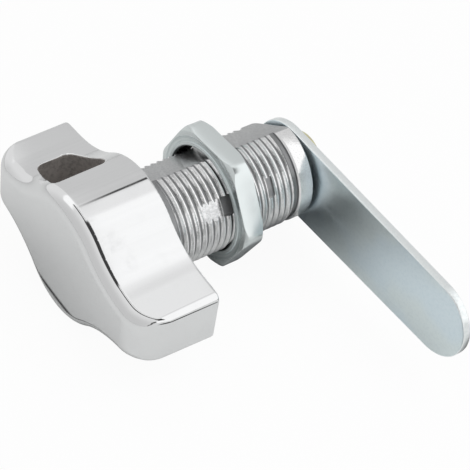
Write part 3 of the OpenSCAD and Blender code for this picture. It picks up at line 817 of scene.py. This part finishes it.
# %% Give the flat, the window and the rest of the barrel their finishes
def finish_barrel():
    """Satin on the flat, a bright rough bottom in the window and crisp edges. The rest has the plating."""
    window_start, window_length, window_depth = sunk_marks["window"]
    spots = (
        (satin_plate, flat_angle, flat_height, barrel_end),
        (window_plate, mark_angle, barrel_radius - window_depth * MM, (window_start + window_length) * MM),
    )
    for slot, (material, angle, height, last_place) in enumerate(spots, 1):
        barrel.data.materials.append(material)
        for face in barrel.data.polygons:
            level = abs(face.center.dot(towards(angle)) - height) < 0.02 * MM
            if level and face.normal.dot(towards(angle)) > 0.999 and face.center.y < last_place:
                face.material_index = slot
    barrel.data.shade_smooth()
    barrel.data.set_sharp_from_angle(angle=math.radians(34))

dress(barrel, "housing", nickel_plate, "barrel")
finish_barrel()

# %% [markdown]
# ## The hexagon nut
# The nut is turned from hexagon bar: its two faces are cut by a cone, which leaves a curved line on each
# flat. A hexagon could be cut by a real cone, but a grid in rings round the axis holds all of this exactly.
# Its outer ring follows the hexagon with its slightly rounded corners, and the height of that ring follows
# the cone. The front has the rings that the turning tool leaves.

# %% Main sizes of the nut
nut_columns = 144
nut_turn = math.radians(-3)
nut_corner = nut_high.x / math.cos(nut_turn)
nut_flat = nut_corner * math.cos(math.pi / 6)
nut_face = nut_corner * 0.915  # where the cone starts
nut_bevel = 0.75 * MM
nut_round = 2.2 * MM
round_centre = nut_corner - nut_round / math.cos(math.pi / 6)
nut_tangent = math.atan2(round_centre / 2, nut_flat)
nut_bore = barrel_radius + 0.05 * MM
nut_lip = 0.3 * MM
ring_width, ring_height = 0.9 * MM, 0.25 * MM
tool_marks, tool_depth = 5, 0.06 * MM
tiny = 0.02 * MM
nut_rear, nut_front = nut_high.y, nut_low.y + ring_height
print("nut over its flats in mm:", round(2 * nut_flat / MM, 2))

# %% Build the nut as rings of points
def nut_section(angle):
    """The nut's section in the direction of one angle, as (place, radius) pairs in a closed loop."""
    from_flat = (angle - nut_turn) % (math.pi / 3) - math.pi / 6
    from_corner = math.pi / 6 - abs(from_flat)
    side = nut_flat / math.cos(from_flat)
    if abs(from_flat) > nut_tangent:
        across = round_centre * math.sin(from_corner)
        side = round_centre * math.cos(from_corner) + math.sqrt(nut_round ** 2 - across ** 2)
    drop = nut_bevel * max(side - nut_face, 0) / (nut_corner - nut_face)
    face = min(nut_face, side - tiny)
    ring = nut_bore + ring_width
    ring_step = (ring_width - nut_lip) / tool_marks
    turned = [(nut_low.y + tool_depth * (k % 2), nut_bore + nut_lip + ring_step * k)
              for k in range(tool_marks + 1)]
    return [
        (nut_low.y + nut_lip, nut_bore), *turned, (nut_front, ring + 0.1 * MM), (nut_front, ring + 0.5 * MM),
        (nut_front, face - 0.2 * MM), (nut_front, face), (nut_front + drop + tiny, side),
        (nut_rear - drop - tiny, side), (nut_rear, face), (nut_rear, face - 0.2 * MM),
        (nut_rear, nut_bore + nut_lip / 2), (nut_rear - nut_lip / 2, nut_bore),
    ]

def make_nut():
    sections = [nut_section(nut_turn + math.tau * k / nut_columns) for k in range(nut_columns)]
    rows = len(sections[0])
    points = []
    for k, section in enumerate(sections):
        angle = nut_turn + math.tau * k / nut_columns
        points += [(r * math.cos(angle), y, -r * math.sin(angle)) for y, r in section]
    faces = [(k * rows + i, k * rows + (i + 1) % rows, (k + 1) % nut_columns * rows + (i + 1) % rows,
              (k + 1) % nut_columns * rows + i) for k in range(nut_columns) for i in range(rows)]
    mesh = mesh_from("hexagon_nut", points, faces)
    turn_outwards(mesh)
    return object_from(mesh)

# %% Round the nut's edges with a small bevel
def soften_edges(made, width, over_angle, segments=2):
    bevel = made.modifiers.new("soft_edges", "BEVEL")
    bevel.width = width
    bevel.segments = segments
    bevel.limit_method = "ANGLE"
    bevel.angle_limit = math.radians(over_angle)
    bevel.harden_normals = False
    settled_mesh(made)
    made.data.shade_smooth()
    made.data.set_sharp_from_angle(angle=math.radians(over_angle))

nut = make_nut()
soften_edges(nut, 0.12 * MM, 33)
dress(nut, "nut", nut_zinc, "hex_nut")

# %% [markdown]
# ## The cam
# The cam is pressed from steel strip. Two round ends are joined by their common tangents, and a square hole
# fits the spindle, so that the cam turns with the knob. A block could be cut to this shape, but an outline
# that is filled and raised has no stray faces. A bevel gives it the soft edge that pressing leaves, and the
# faces that look sideways get the brighter colour of the punched edge, a painted highlight.

# %% Main sizes of the cam
cam_front, cam_rear = cam_low.y, cam_high.y
cam_root = -cam_low.x
cam_end = 7.3 * MM
cam_reach = cam_high.x - cam_end
cam_lean = math.acos((cam_root - cam_end) / cam_reach)
cam_hole_half = 2.8 * MM
print("cam in mm:", [round(v / MM, 1) for v in (cam_high.x, cam_root, cam_end, cam_rear - cam_front)])

# %% Press the cam
def arc(centre_x, radius, start, end, steps):
    return [(centre_x + radius * math.cos(start + (end - start) * k / steps),
             radius * math.sin(start + (end - start) * k / steps)) for k in range(steps + 1)]

def make_plate(name, outline, hole, front, rear):
    """A plate between two places along the lock, from an outline and a hole of (x, z) points."""
    work = bmesh.new()
    for loop in (outline, hole):
        corners = [work.verts.new((x, front, z)) for x, z in loop]
        for first, second in zip(corners, corners[1:] + corners[:1]):
            work.edges.new((first, second))
    bmesh.ops.triangle_fill(work, use_beauty=True, edges=work.edges[:])
    bmesh.ops.dissolve_limit(work, angle_limit=0.01, verts=work.verts[:], edges=work.edges[:])
    raised = bmesh.ops.extrude_face_region(work, geom=work.faces[:])
    moved = [item for item in raised["geom"] if isinstance(item, bmesh.types.BMVert)]
    bmesh.ops.translate(work, verts=moved, vec=(0, rear - front, 0))
    bmesh.ops.recalc_face_normals(work, faces=work.faces)
    mesh = bpy.data.meshes.new(name)
    work.to_mesh(mesh)
    work.free()
    turn_outwards(mesh)
    return object_from(mesh)

# %% Outline of the cam, its soft edge and its finishes
cam_outline = (arc(cam_reach, cam_end, -cam_lean, cam_lean, 40)
               + arc(0, cam_root, cam_lean, math.tau - cam_lean, 56))
cam_hole = [(cam_hole_half * a, cam_hole_half * b) for a, b in ((1, 1), (-1, 1), (-1, -1), (1, -1))]
cam = make_plate("lock_cam", cam_outline, cam_hole, cam_front, cam_rear)
soften_edges(cam, 0.22 * MM, 30, segments=4)
dress(cam, "rotor", sheet_zinc, "cam")
cam.data.materials.append(edge_highlight_zinc)
# The sideways faces take the brighter edge colour, a painted highlight.
edge_slope = 0.75
for face in cam.data.polygons:
    face.material_index = int(abs(face.normal.y) < edge_slope)

# %% [markdown]
# ## The cam screw and its washer
# The screw has a low domed head with a cross recess whose slots get narrower as they go down. It is
# another distance formula. The washer is a strip of spring wire bent into an open ring, so Geometry Nodes
# sweep a small rounded rectangle along an arc.

# %% Cast the screw
screw_head_radius = screw_high.x
head_seat = washer_high.y
head_top = screw_high.y
head_rim = 1.7 * MM
head_dome = head_top - head_seat - head_rim
head_sphere = (screw_head_radius ** 2 + head_dome ** 2) / (2 * head_dome)
shank_radius = 1.95 * MM
cross_half_width, cross_half_length, cross_depth = 0.5 * MM, 2.7 * MM, 1.4 * MM
side_draft, end_draft = 0.12, 0.75
crown_round, seat_round = 0.5 * MM, 0.12 * MM

def screw_form(x, y, z):
    radius = np.hypot(x, z)
    dome = np.hypot(radius, y - (head_top - head_sphere)) - head_sphere
    head = joined(joined(radius - screw_head_radius, dome, crown_round), head_seat - y, seat_round)
    shank = joined(radius - shank_radius, np.maximum(screw_low.y - y, y - head_seat - 0.4 * MM), 0.3 * MM)
    form = np.minimum(head, shank)
    depth = head_top - y
    first, second = (x + z) / math.sqrt(2), (x - z) / math.sqrt(2)
    for along, across in ((first, second), (second, first)):
        narrow = np.abs(across) - cross_half_width + depth * side_draft
        short = np.abs(along) - cross_half_length + depth * end_draft
        slot = joined(joined(narrow, short, 0.1 * MM), depth - cross_depth, 0.2 * MM)
        form = cut_by(form, slot, 0.12 * MM)
    return form

screw_step = 0.13 * MM
screw = cast_form("cam_screw_head", screw_form, screw_low, screw_high, screw_step)
dress(screw, "rotor", yellow_zinc, "cam_screw")

# %% The spring washer as a strip swept along an open ring
def make_washer_tree():
    tree, given, out = new_group(
        "open_ring", "GeometryNodeTree",
        {"Middle": "NodeSocketFloat", "Width": "NodeSocketFloat", "Height": "NodeSocketFloat",
         "Place": "NodeSocketFloat", "Gap": "NodeSocketFloat"},
        {"Mesh": "NodeSocketGeometry"})
    half_gap = calc(tree, "DIVIDE", calc(tree, "DIVIDE", given["Gap"], 2.0), given["Middle"])
    sweep = calc(tree, "SUBTRACT", math.tau, calc(tree, "MULTIPLY", half_gap, 2.0))
    ring = add_node(tree, "GeometryNodeCurveArc", Resolution=72, Radius=given["Middle"],
                    Start_Angle=calc(tree, "ADD", half_gap, math.pi / 2), Sweep_Angle=sweep)
    strip = add_node(tree, "GeometryNodeCurvePrimitiveQuadrilateral", Width=given["Width"],
                     Height=given["Height"])
    soft = add_node(tree, "GeometryNodeFilletCurve", {"mode": "POLY"}, Curve=strip.outputs[0], Count=3,
                    Radius=0.12 * MM)
    swept = add_node(tree, "GeometryNodeCurveToMesh", Curve=ring.outputs["Curve"],
                     Profile_Curve=soft.outputs[0], Fill_Caps=True)
    shift = add_node(tree, "ShaderNodeCombineXYZ", Y=given["Place"])
    placed = add_node(tree, "GeometryNodeTransform", Geometry=swept.outputs[0],
                      Translation=shift.outputs[0], Rotation=(math.pi / 2, 0, 0))
    real = add_node(tree, "GeometryNodeRealizeInstances", Geometry=placed.outputs[0])
    finished = add_node(tree, "GeometryNodeSetMaterial", Geometry=real.outputs[0], Material=yellow_zinc)
    feed(tree, out["Mesh"], finished.outputs[0])
    return tree

# %% Bend the washer
washer_inner = 2.1 * MM
washer_gap = 0.8 * MM
washer_outer = washer_high.x
washer = run_tree("split_washer", make_washer_tree(), Middle=(washer_inner + washer_outer) / 2,
                  Width=washer_outer - washer_inner, Height=washer_high.y - washer_low.y,
                  Place=(washer_low.y + washer_high.y) / 2, Gap=washer_gap)
turn_outwards(washer.data)
washer.data.shade_smooth()
washer.data.set_sharp_from_angle(angle=math.radians(35))
dress(washer, "rotor", yellow_zinc, "spring_washer")

# %% [markdown]
# ## The pieces inside
# The spindle, the seal, the click ball with its spring, the stop plate, the spacer and the grub screw have
# their true shape in the frame already, so they only get a finish.

# %% Finish the pieces that stay as they are
inner_finishes = {
    "spindle": plain_steel, "detent_ball": plain_steel, "detent_spring": plain_steel,
    "grub_screw": plain_steel, "stop_plate": sheet_zinc, "cam_spacer": sheet_zinc, "seal_ring": seal_rubber,
}
for node_name, material in inner_finishes.items():
    kept_node = frame["nodes"][node_name]
    kept_node.data.materials.clear()
    kept_node.data.materials.append(material)
print("kept as they are:", sorted(inner_finishes))

# %% [markdown]
# ## The studio
# Chrome has no look of its own: it shows the room. The room here is a pale tent over the lock. Bright
# panels hang in it on the left, over the middle and on the right, and dark gaps are left between them, whose
# edges draw the crisp lines on the knob. Real panels could be built, but a formula of the direction gives
# each edge its own softness. Only reflections see the panels: the camera sees plain white, and the light
# that falls on the lock is soft and comes from above.

# %% Helpers that paint the room
def within(tree, value, low, high, softness):
    """1 between low and high and 0 outside them, with soft edges."""
    rise = smooth_step(tree, value, low - softness, low + softness)
    fall = smooth_step(tree, value, high + softness, high - softness)
    return calc(tree, "MULTIPLY", rise, fall)

def painted(tree, level, mask, brightness):
    """The level, covered with a brightness where the mask is 1."""
    kept = calc(tree, "MULTIPLY", level, calc(tree, "SUBTRACT", 1.0, mask))
    return calc(tree, "MULTIPLY_ADD", mask, brightness, kept)

# %% Panels and gaps of the room
light_low, light_above = 0.12, 1.2
horizon = 99.0
room_parts = {  # low edge, high edge and softness, first to the right and then to the back, and brightness
    "left panel": ((-1.15, -0.45, 0.12), (-0.42, 0.30, 0.08), 1.1),
    "middle panel": ((-0.50, 0.03, 0.06), (-0.04, 0.34, 0.03), 0.98),
    "gap across the middle": ((-0.52, 0.12, 0.04), (-0.005, 0.125, 0.02), 0.04),
    "gap beside the middle": ((0.07, 1.25, 0.05), (-0.05, 0.332, 0.015), 0.05),
    "right panel": ((1.35, horizon, 0.10), (-0.18, 0.34, 0.05), 1.08),
    "gap before the right panel": ((1.30, 4.50, 0.15), (-0.52, -0.22, 0.03), 0.10),
    "slit in the middle": ((-0.44, 0.02, 0.03), (0.222, 0.252, 0.010), 0.05),
    "low gap at the back": ((7.00, horizon, 1.00), (0.42, 0.62, 0.04), 0.12),
    "low gap in front": ((4.00, horizon, 0.50), (-0.66, -0.38, 0.04), 0.10),
}

# %% The cloth of the tent
def tent_walls(tree, right, back):
    """The rear wall gets brighter to the right and has faint folds. The front wall gets brighter upwards."""
    folds = add_node(tree, "ShaderNodeTexNoise", {"noise_dimensions": "1D"}, W=right, Scale=5.0,
                     Detail=2.0, Roughness=0.6).outputs["Fac"]
    rear_wall = blend_number(tree, smooth_step(tree, right, -0.45, 0.16), 0.63, 1.08)
    rear_wall = calc(tree, "MULTIPLY_ADD", calc(tree, "SUBTRACT", folds, 0.5), 0.12, rear_wall)
    front_wall = blend_number(tree, smooth_step(tree, back, -0.9, -0.1), 0.62, 0.8)
    return painted(tree, front_wall, smooth_step(tree, back, 0.325, 0.345), rear_wall)

# %% Build the room that the metal reflects
def make_world():
    world = bpy.data.worlds.new("studio")
    world.use_nodes = True
    bpy.context.scene.world = world
    tree = world.node_tree
    direction = tree.nodes.new("ShaderNodeTexCoord").outputs["Generated"]
    ways = add_node(tree, "ShaderNodeSeparateXYZ", Vector=direction).outputs
    back = ways["Y"]
    right = calc(tree, "DIVIDE", ways["X"], calc(tree, "MAXIMUM", ways["Z"], 0.02))
    room = tent_walls(tree, right, back)
    for to_the_right, to_the_back, brightness in room_parts.values():
        mask = calc(tree, "MULTIPLY", within(tree, right, *to_the_right), within(tree, back, *to_the_back))
        room = painted(tree, room, mask, brightness)

    path = tree.nodes.new("ShaderNodeLightPath").outputs
    soft_light = blend_number(tree, smooth_step(tree, ways["Z"], 0.15, 0.95), light_low, light_above)
    seen = painted(tree, soft_light, path["Is Glossy Ray"], room)
    white = calc(tree, "MAXIMUM", seen, path["Is Camera Ray"])
    background = first_node(tree, "BACKGROUND")
    feed(tree, background.inputs["Strength"], white)
    background.inputs["Color"].default_value = (1, 1, 1, 1)

make_world()
print("panels and gaps in the room:", len(room_parts))

# %% [markdown]
# ## Cards close to the lock
# A photographer also sets small cards close by, which show in one face of the chrome only. A white card
# lights the upper side of the near wing, and a narrow black one puts a dark line on the round middle. Both
# fade out towards their edges, because a hard edge would draw a sharp line across the chrome.

# %% Mix two shaders on a surface
def mix_surface(tree, share, first, second):
    """The surface shows the first shader, and the second one by this share."""
    mix = add_node(tree, "ShaderNodeMixShader", Fac=share)
    feed(tree, mix.inputs[1], first.outputs[0])
    feed(tree, mix.inputs[2], second.outputs[0])
    feed(tree, first_node(tree, "OUTPUT_MATERIAL").inputs["Surface"], mix.outputs[0])

# %% Make a card that only reflections see
def make_card(name, centre, facing, width, height, brightness):
    """A card with soft edges round a centre. It faces a point on the lock, and its height runs lengthways."""
    away = (centre - facing).normalized()
    side = Vector((0, 1, 0)).cross(away).normalized()
    up = away.cross(side)
    corners = [centre + side * a * width / 2 + up * b * height / 2
               for a, b in ((-1, -1), (1, -1), (1, 1), (-1, 1))]
    card = object_from(mesh_from(name, corners, [(0, 1, 2, 3)]))
    material, tree, _, place = new_material(name)
    fade = 1.0
    for way, length in ((side, width), (up, height)):
        node = add_node(tree, "ShaderNodeVectorMath", {"operation": "DOT_PRODUCT"})
        feed(tree, node.inputs[0], place)
        feed(tree, node.inputs[1], way)
        off = calc(tree, "ABSOLUTE", calc(tree, "SUBTRACT", node.outputs["Value"], centre.dot(way)))
        fade = calc(tree, "MULTIPLY", smooth_step(tree, off, length / 2, length / 8), fade)
    light = add_node(tree, "ShaderNodeEmission", Strength=brightness)
    mix_surface(tree, fade, tree.nodes.new("ShaderNodeBsdfTransparent"), light)
    card.data.materials.append(material)
    for ray in ("visible_camera", "visible_diffuse", "visible_shadow", "visible_transmission"):
        setattr(card, ray, False)

# %% Hang the two cards where the wing and the round middle reflect them
def seen_from(spot, way, reach):
    """The place that a reflection reaches from a spot on the lock."""
    return spot + Vector(way).normalized() * reach

wing_spot = Vector((19.0, -7.0, 6.3)) * MM
wing_card_place = seen_from(wing_spot, (-0.37, 0.37, 0.84), 70 * MM)
make_card("white_card", wing_card_place, wing_spot, width=34 * MM, height=44 * MM, brightness=0.9)
bulge_spot = Vector((0.4, -3.0, 13.1)) * MM
bulge_card_place = seen_from(bulge_spot, (-0.33, 0.39, 0.86), 50 * MM)
make_card("black_card", bulge_card_place, bulge_spot, width=5 * MM, height=30 * MM, brightness=0.05)

# %% [markdown]
# ## The floor and the lamp
# The lock lies on a white table. To the camera the floor is nearly pure white and keeps a faint shadow,
# partly cast and partly painted. To every other ray it is a pale grey, with a darker oval painted under the
# lock as painted shadow. Reflections alone also see two dark ovals and a thin dark line on it, painted shade
# that gives the low parts of the chrome and the nut their dark reflections. A large lamp overhead adds the
# shadow.

# %% Painted shade on the floor, all in mm
painted_shadow_under_lock = (-2, 23, 24, 19)  # x and y of an oval's centre, then its half width and half length
painted_shade_behind_lock = (33, 54, 34, 21)
painted_shade_beside_lock = (58, 3, 15, 18)
shade_line_across = (-24, 14, 3)  # low edge, high edge and softness
shade_line_along = (-18.0, -17.6, 0.2)

def from_spot(tree, parts, x, y, half_x, half_y):
    """0 at a spot on the floor and 1 on the oval round it."""
    across = calc(tree, "DIVIDE", calc(tree, "SUBTRACT", parts["X"], x * MM), half_x * MM)
    along = calc(tree, "DIVIDE", calc(tree, "SUBTRACT", parts["Y"], y * MM), half_y * MM)
    squares = calc(tree, "MULTIPLY_ADD", across, across, calc(tree, "MULTIPLY", along, along))
    return calc(tree, "SQRT", squares)

def floor_colour(tree, parts):
    # Painted shadow: the floor is darker in an oval under the lock.
    under = smooth_step(tree, from_spot(tree, parts, *painted_shadow_under_lock), 0.25, 1.15)
    pale = blend_colour(tree, under, (0.16, 0.165, 0.17), (0.62, 0.625, 0.622))
    # Painted shade seen only in reflections: a thin dark line and two dark ovals on the floor.
    painted_shade_in_reflections = calc(tree, "MULTIPLY", within(tree, parts["Y"], *(v * MM for v in shade_line_along)),
                within(tree, parts["X"], *(v * MM for v in shade_line_across)))
    for oval in (painted_shade_behind_lock, painted_shade_beside_lock):
        painted_shade_in_reflections = calc(tree, "MAXIMUM", painted_shade_in_reflections, smooth_step(tree, from_spot(tree, parts, *oval), 1.1, 0.7))
    glossy = tree.nodes.new("ShaderNodeLightPath").outputs["Is Glossy Ray"]
    return blend_colour(tree, calc(tree, "MULTIPLY", painted_shade_in_reflections, glossy), pale, (0.03, 0.03, 0.03))

# %% Lay the floor
floor_drop = 0.02 * MM
floor_half = 3.0
white_to_camera = 0.95

def make_floor():
    z = cad_low.z - floor_drop
    corners = [(floor_half * a, floor_half * b, z) for a, b in ((-1, -1), (1, -1), (1, 1), (-1, 1))]
    floor = object_from(mesh_from("floor", corners, [(0, 1, 2, 3)]))
    material, tree, shader, place = new_material("pale_floor")
    parts = add_node(tree, "ShaderNodeSeparateXYZ", Vector=place).outputs
    feed(tree, shader.inputs["Base Color"], floor_colour(tree, parts))
    shader.inputs["Roughness"].default_value = 0.9
    white = add_node(tree, "ShaderNodeEmission", Strength=1.0)
    white.inputs["Color"].default_value = (1, 1, 1, 1)
    seen = tree.nodes.new("ShaderNodeLightPath").outputs["Is Camera Ray"]
    mix_surface(tree, calc(tree, "MULTIPLY", seen, white_to_camera), shader, white)
    floor.data.materials.append(material)

# %% Hang the lamp
lamp_size = (0.35, 0.25)
lamp_energy = 0.9
lamp_place = Vector((0.18, 0.12, 0.42))

def make_lamp():
    data = bpy.data.lights.new("overhead", "AREA")
    data.shape = "RECTANGLE"
    data.size, data.size_y = lamp_size
    data.energy = lamp_energy
    lamp = bpy.data.objects.new("overhead", data)
    lamp.location = lamp_place
    lamp.rotation_mode = "QUATERNION"
    lamp.rotation_quaternion = lamp_place.to_track_quat("Z", "Y")
    lamp.visible_glossy = False
    bpy.context.scene.collection.objects.link(lamp)

make_floor()
make_lamp()
print("floor height in mm:", round((cad_low.z - floor_drop) / MM, 2))
print("lamp in m:", [round(v, 2) for v in lamp_place])
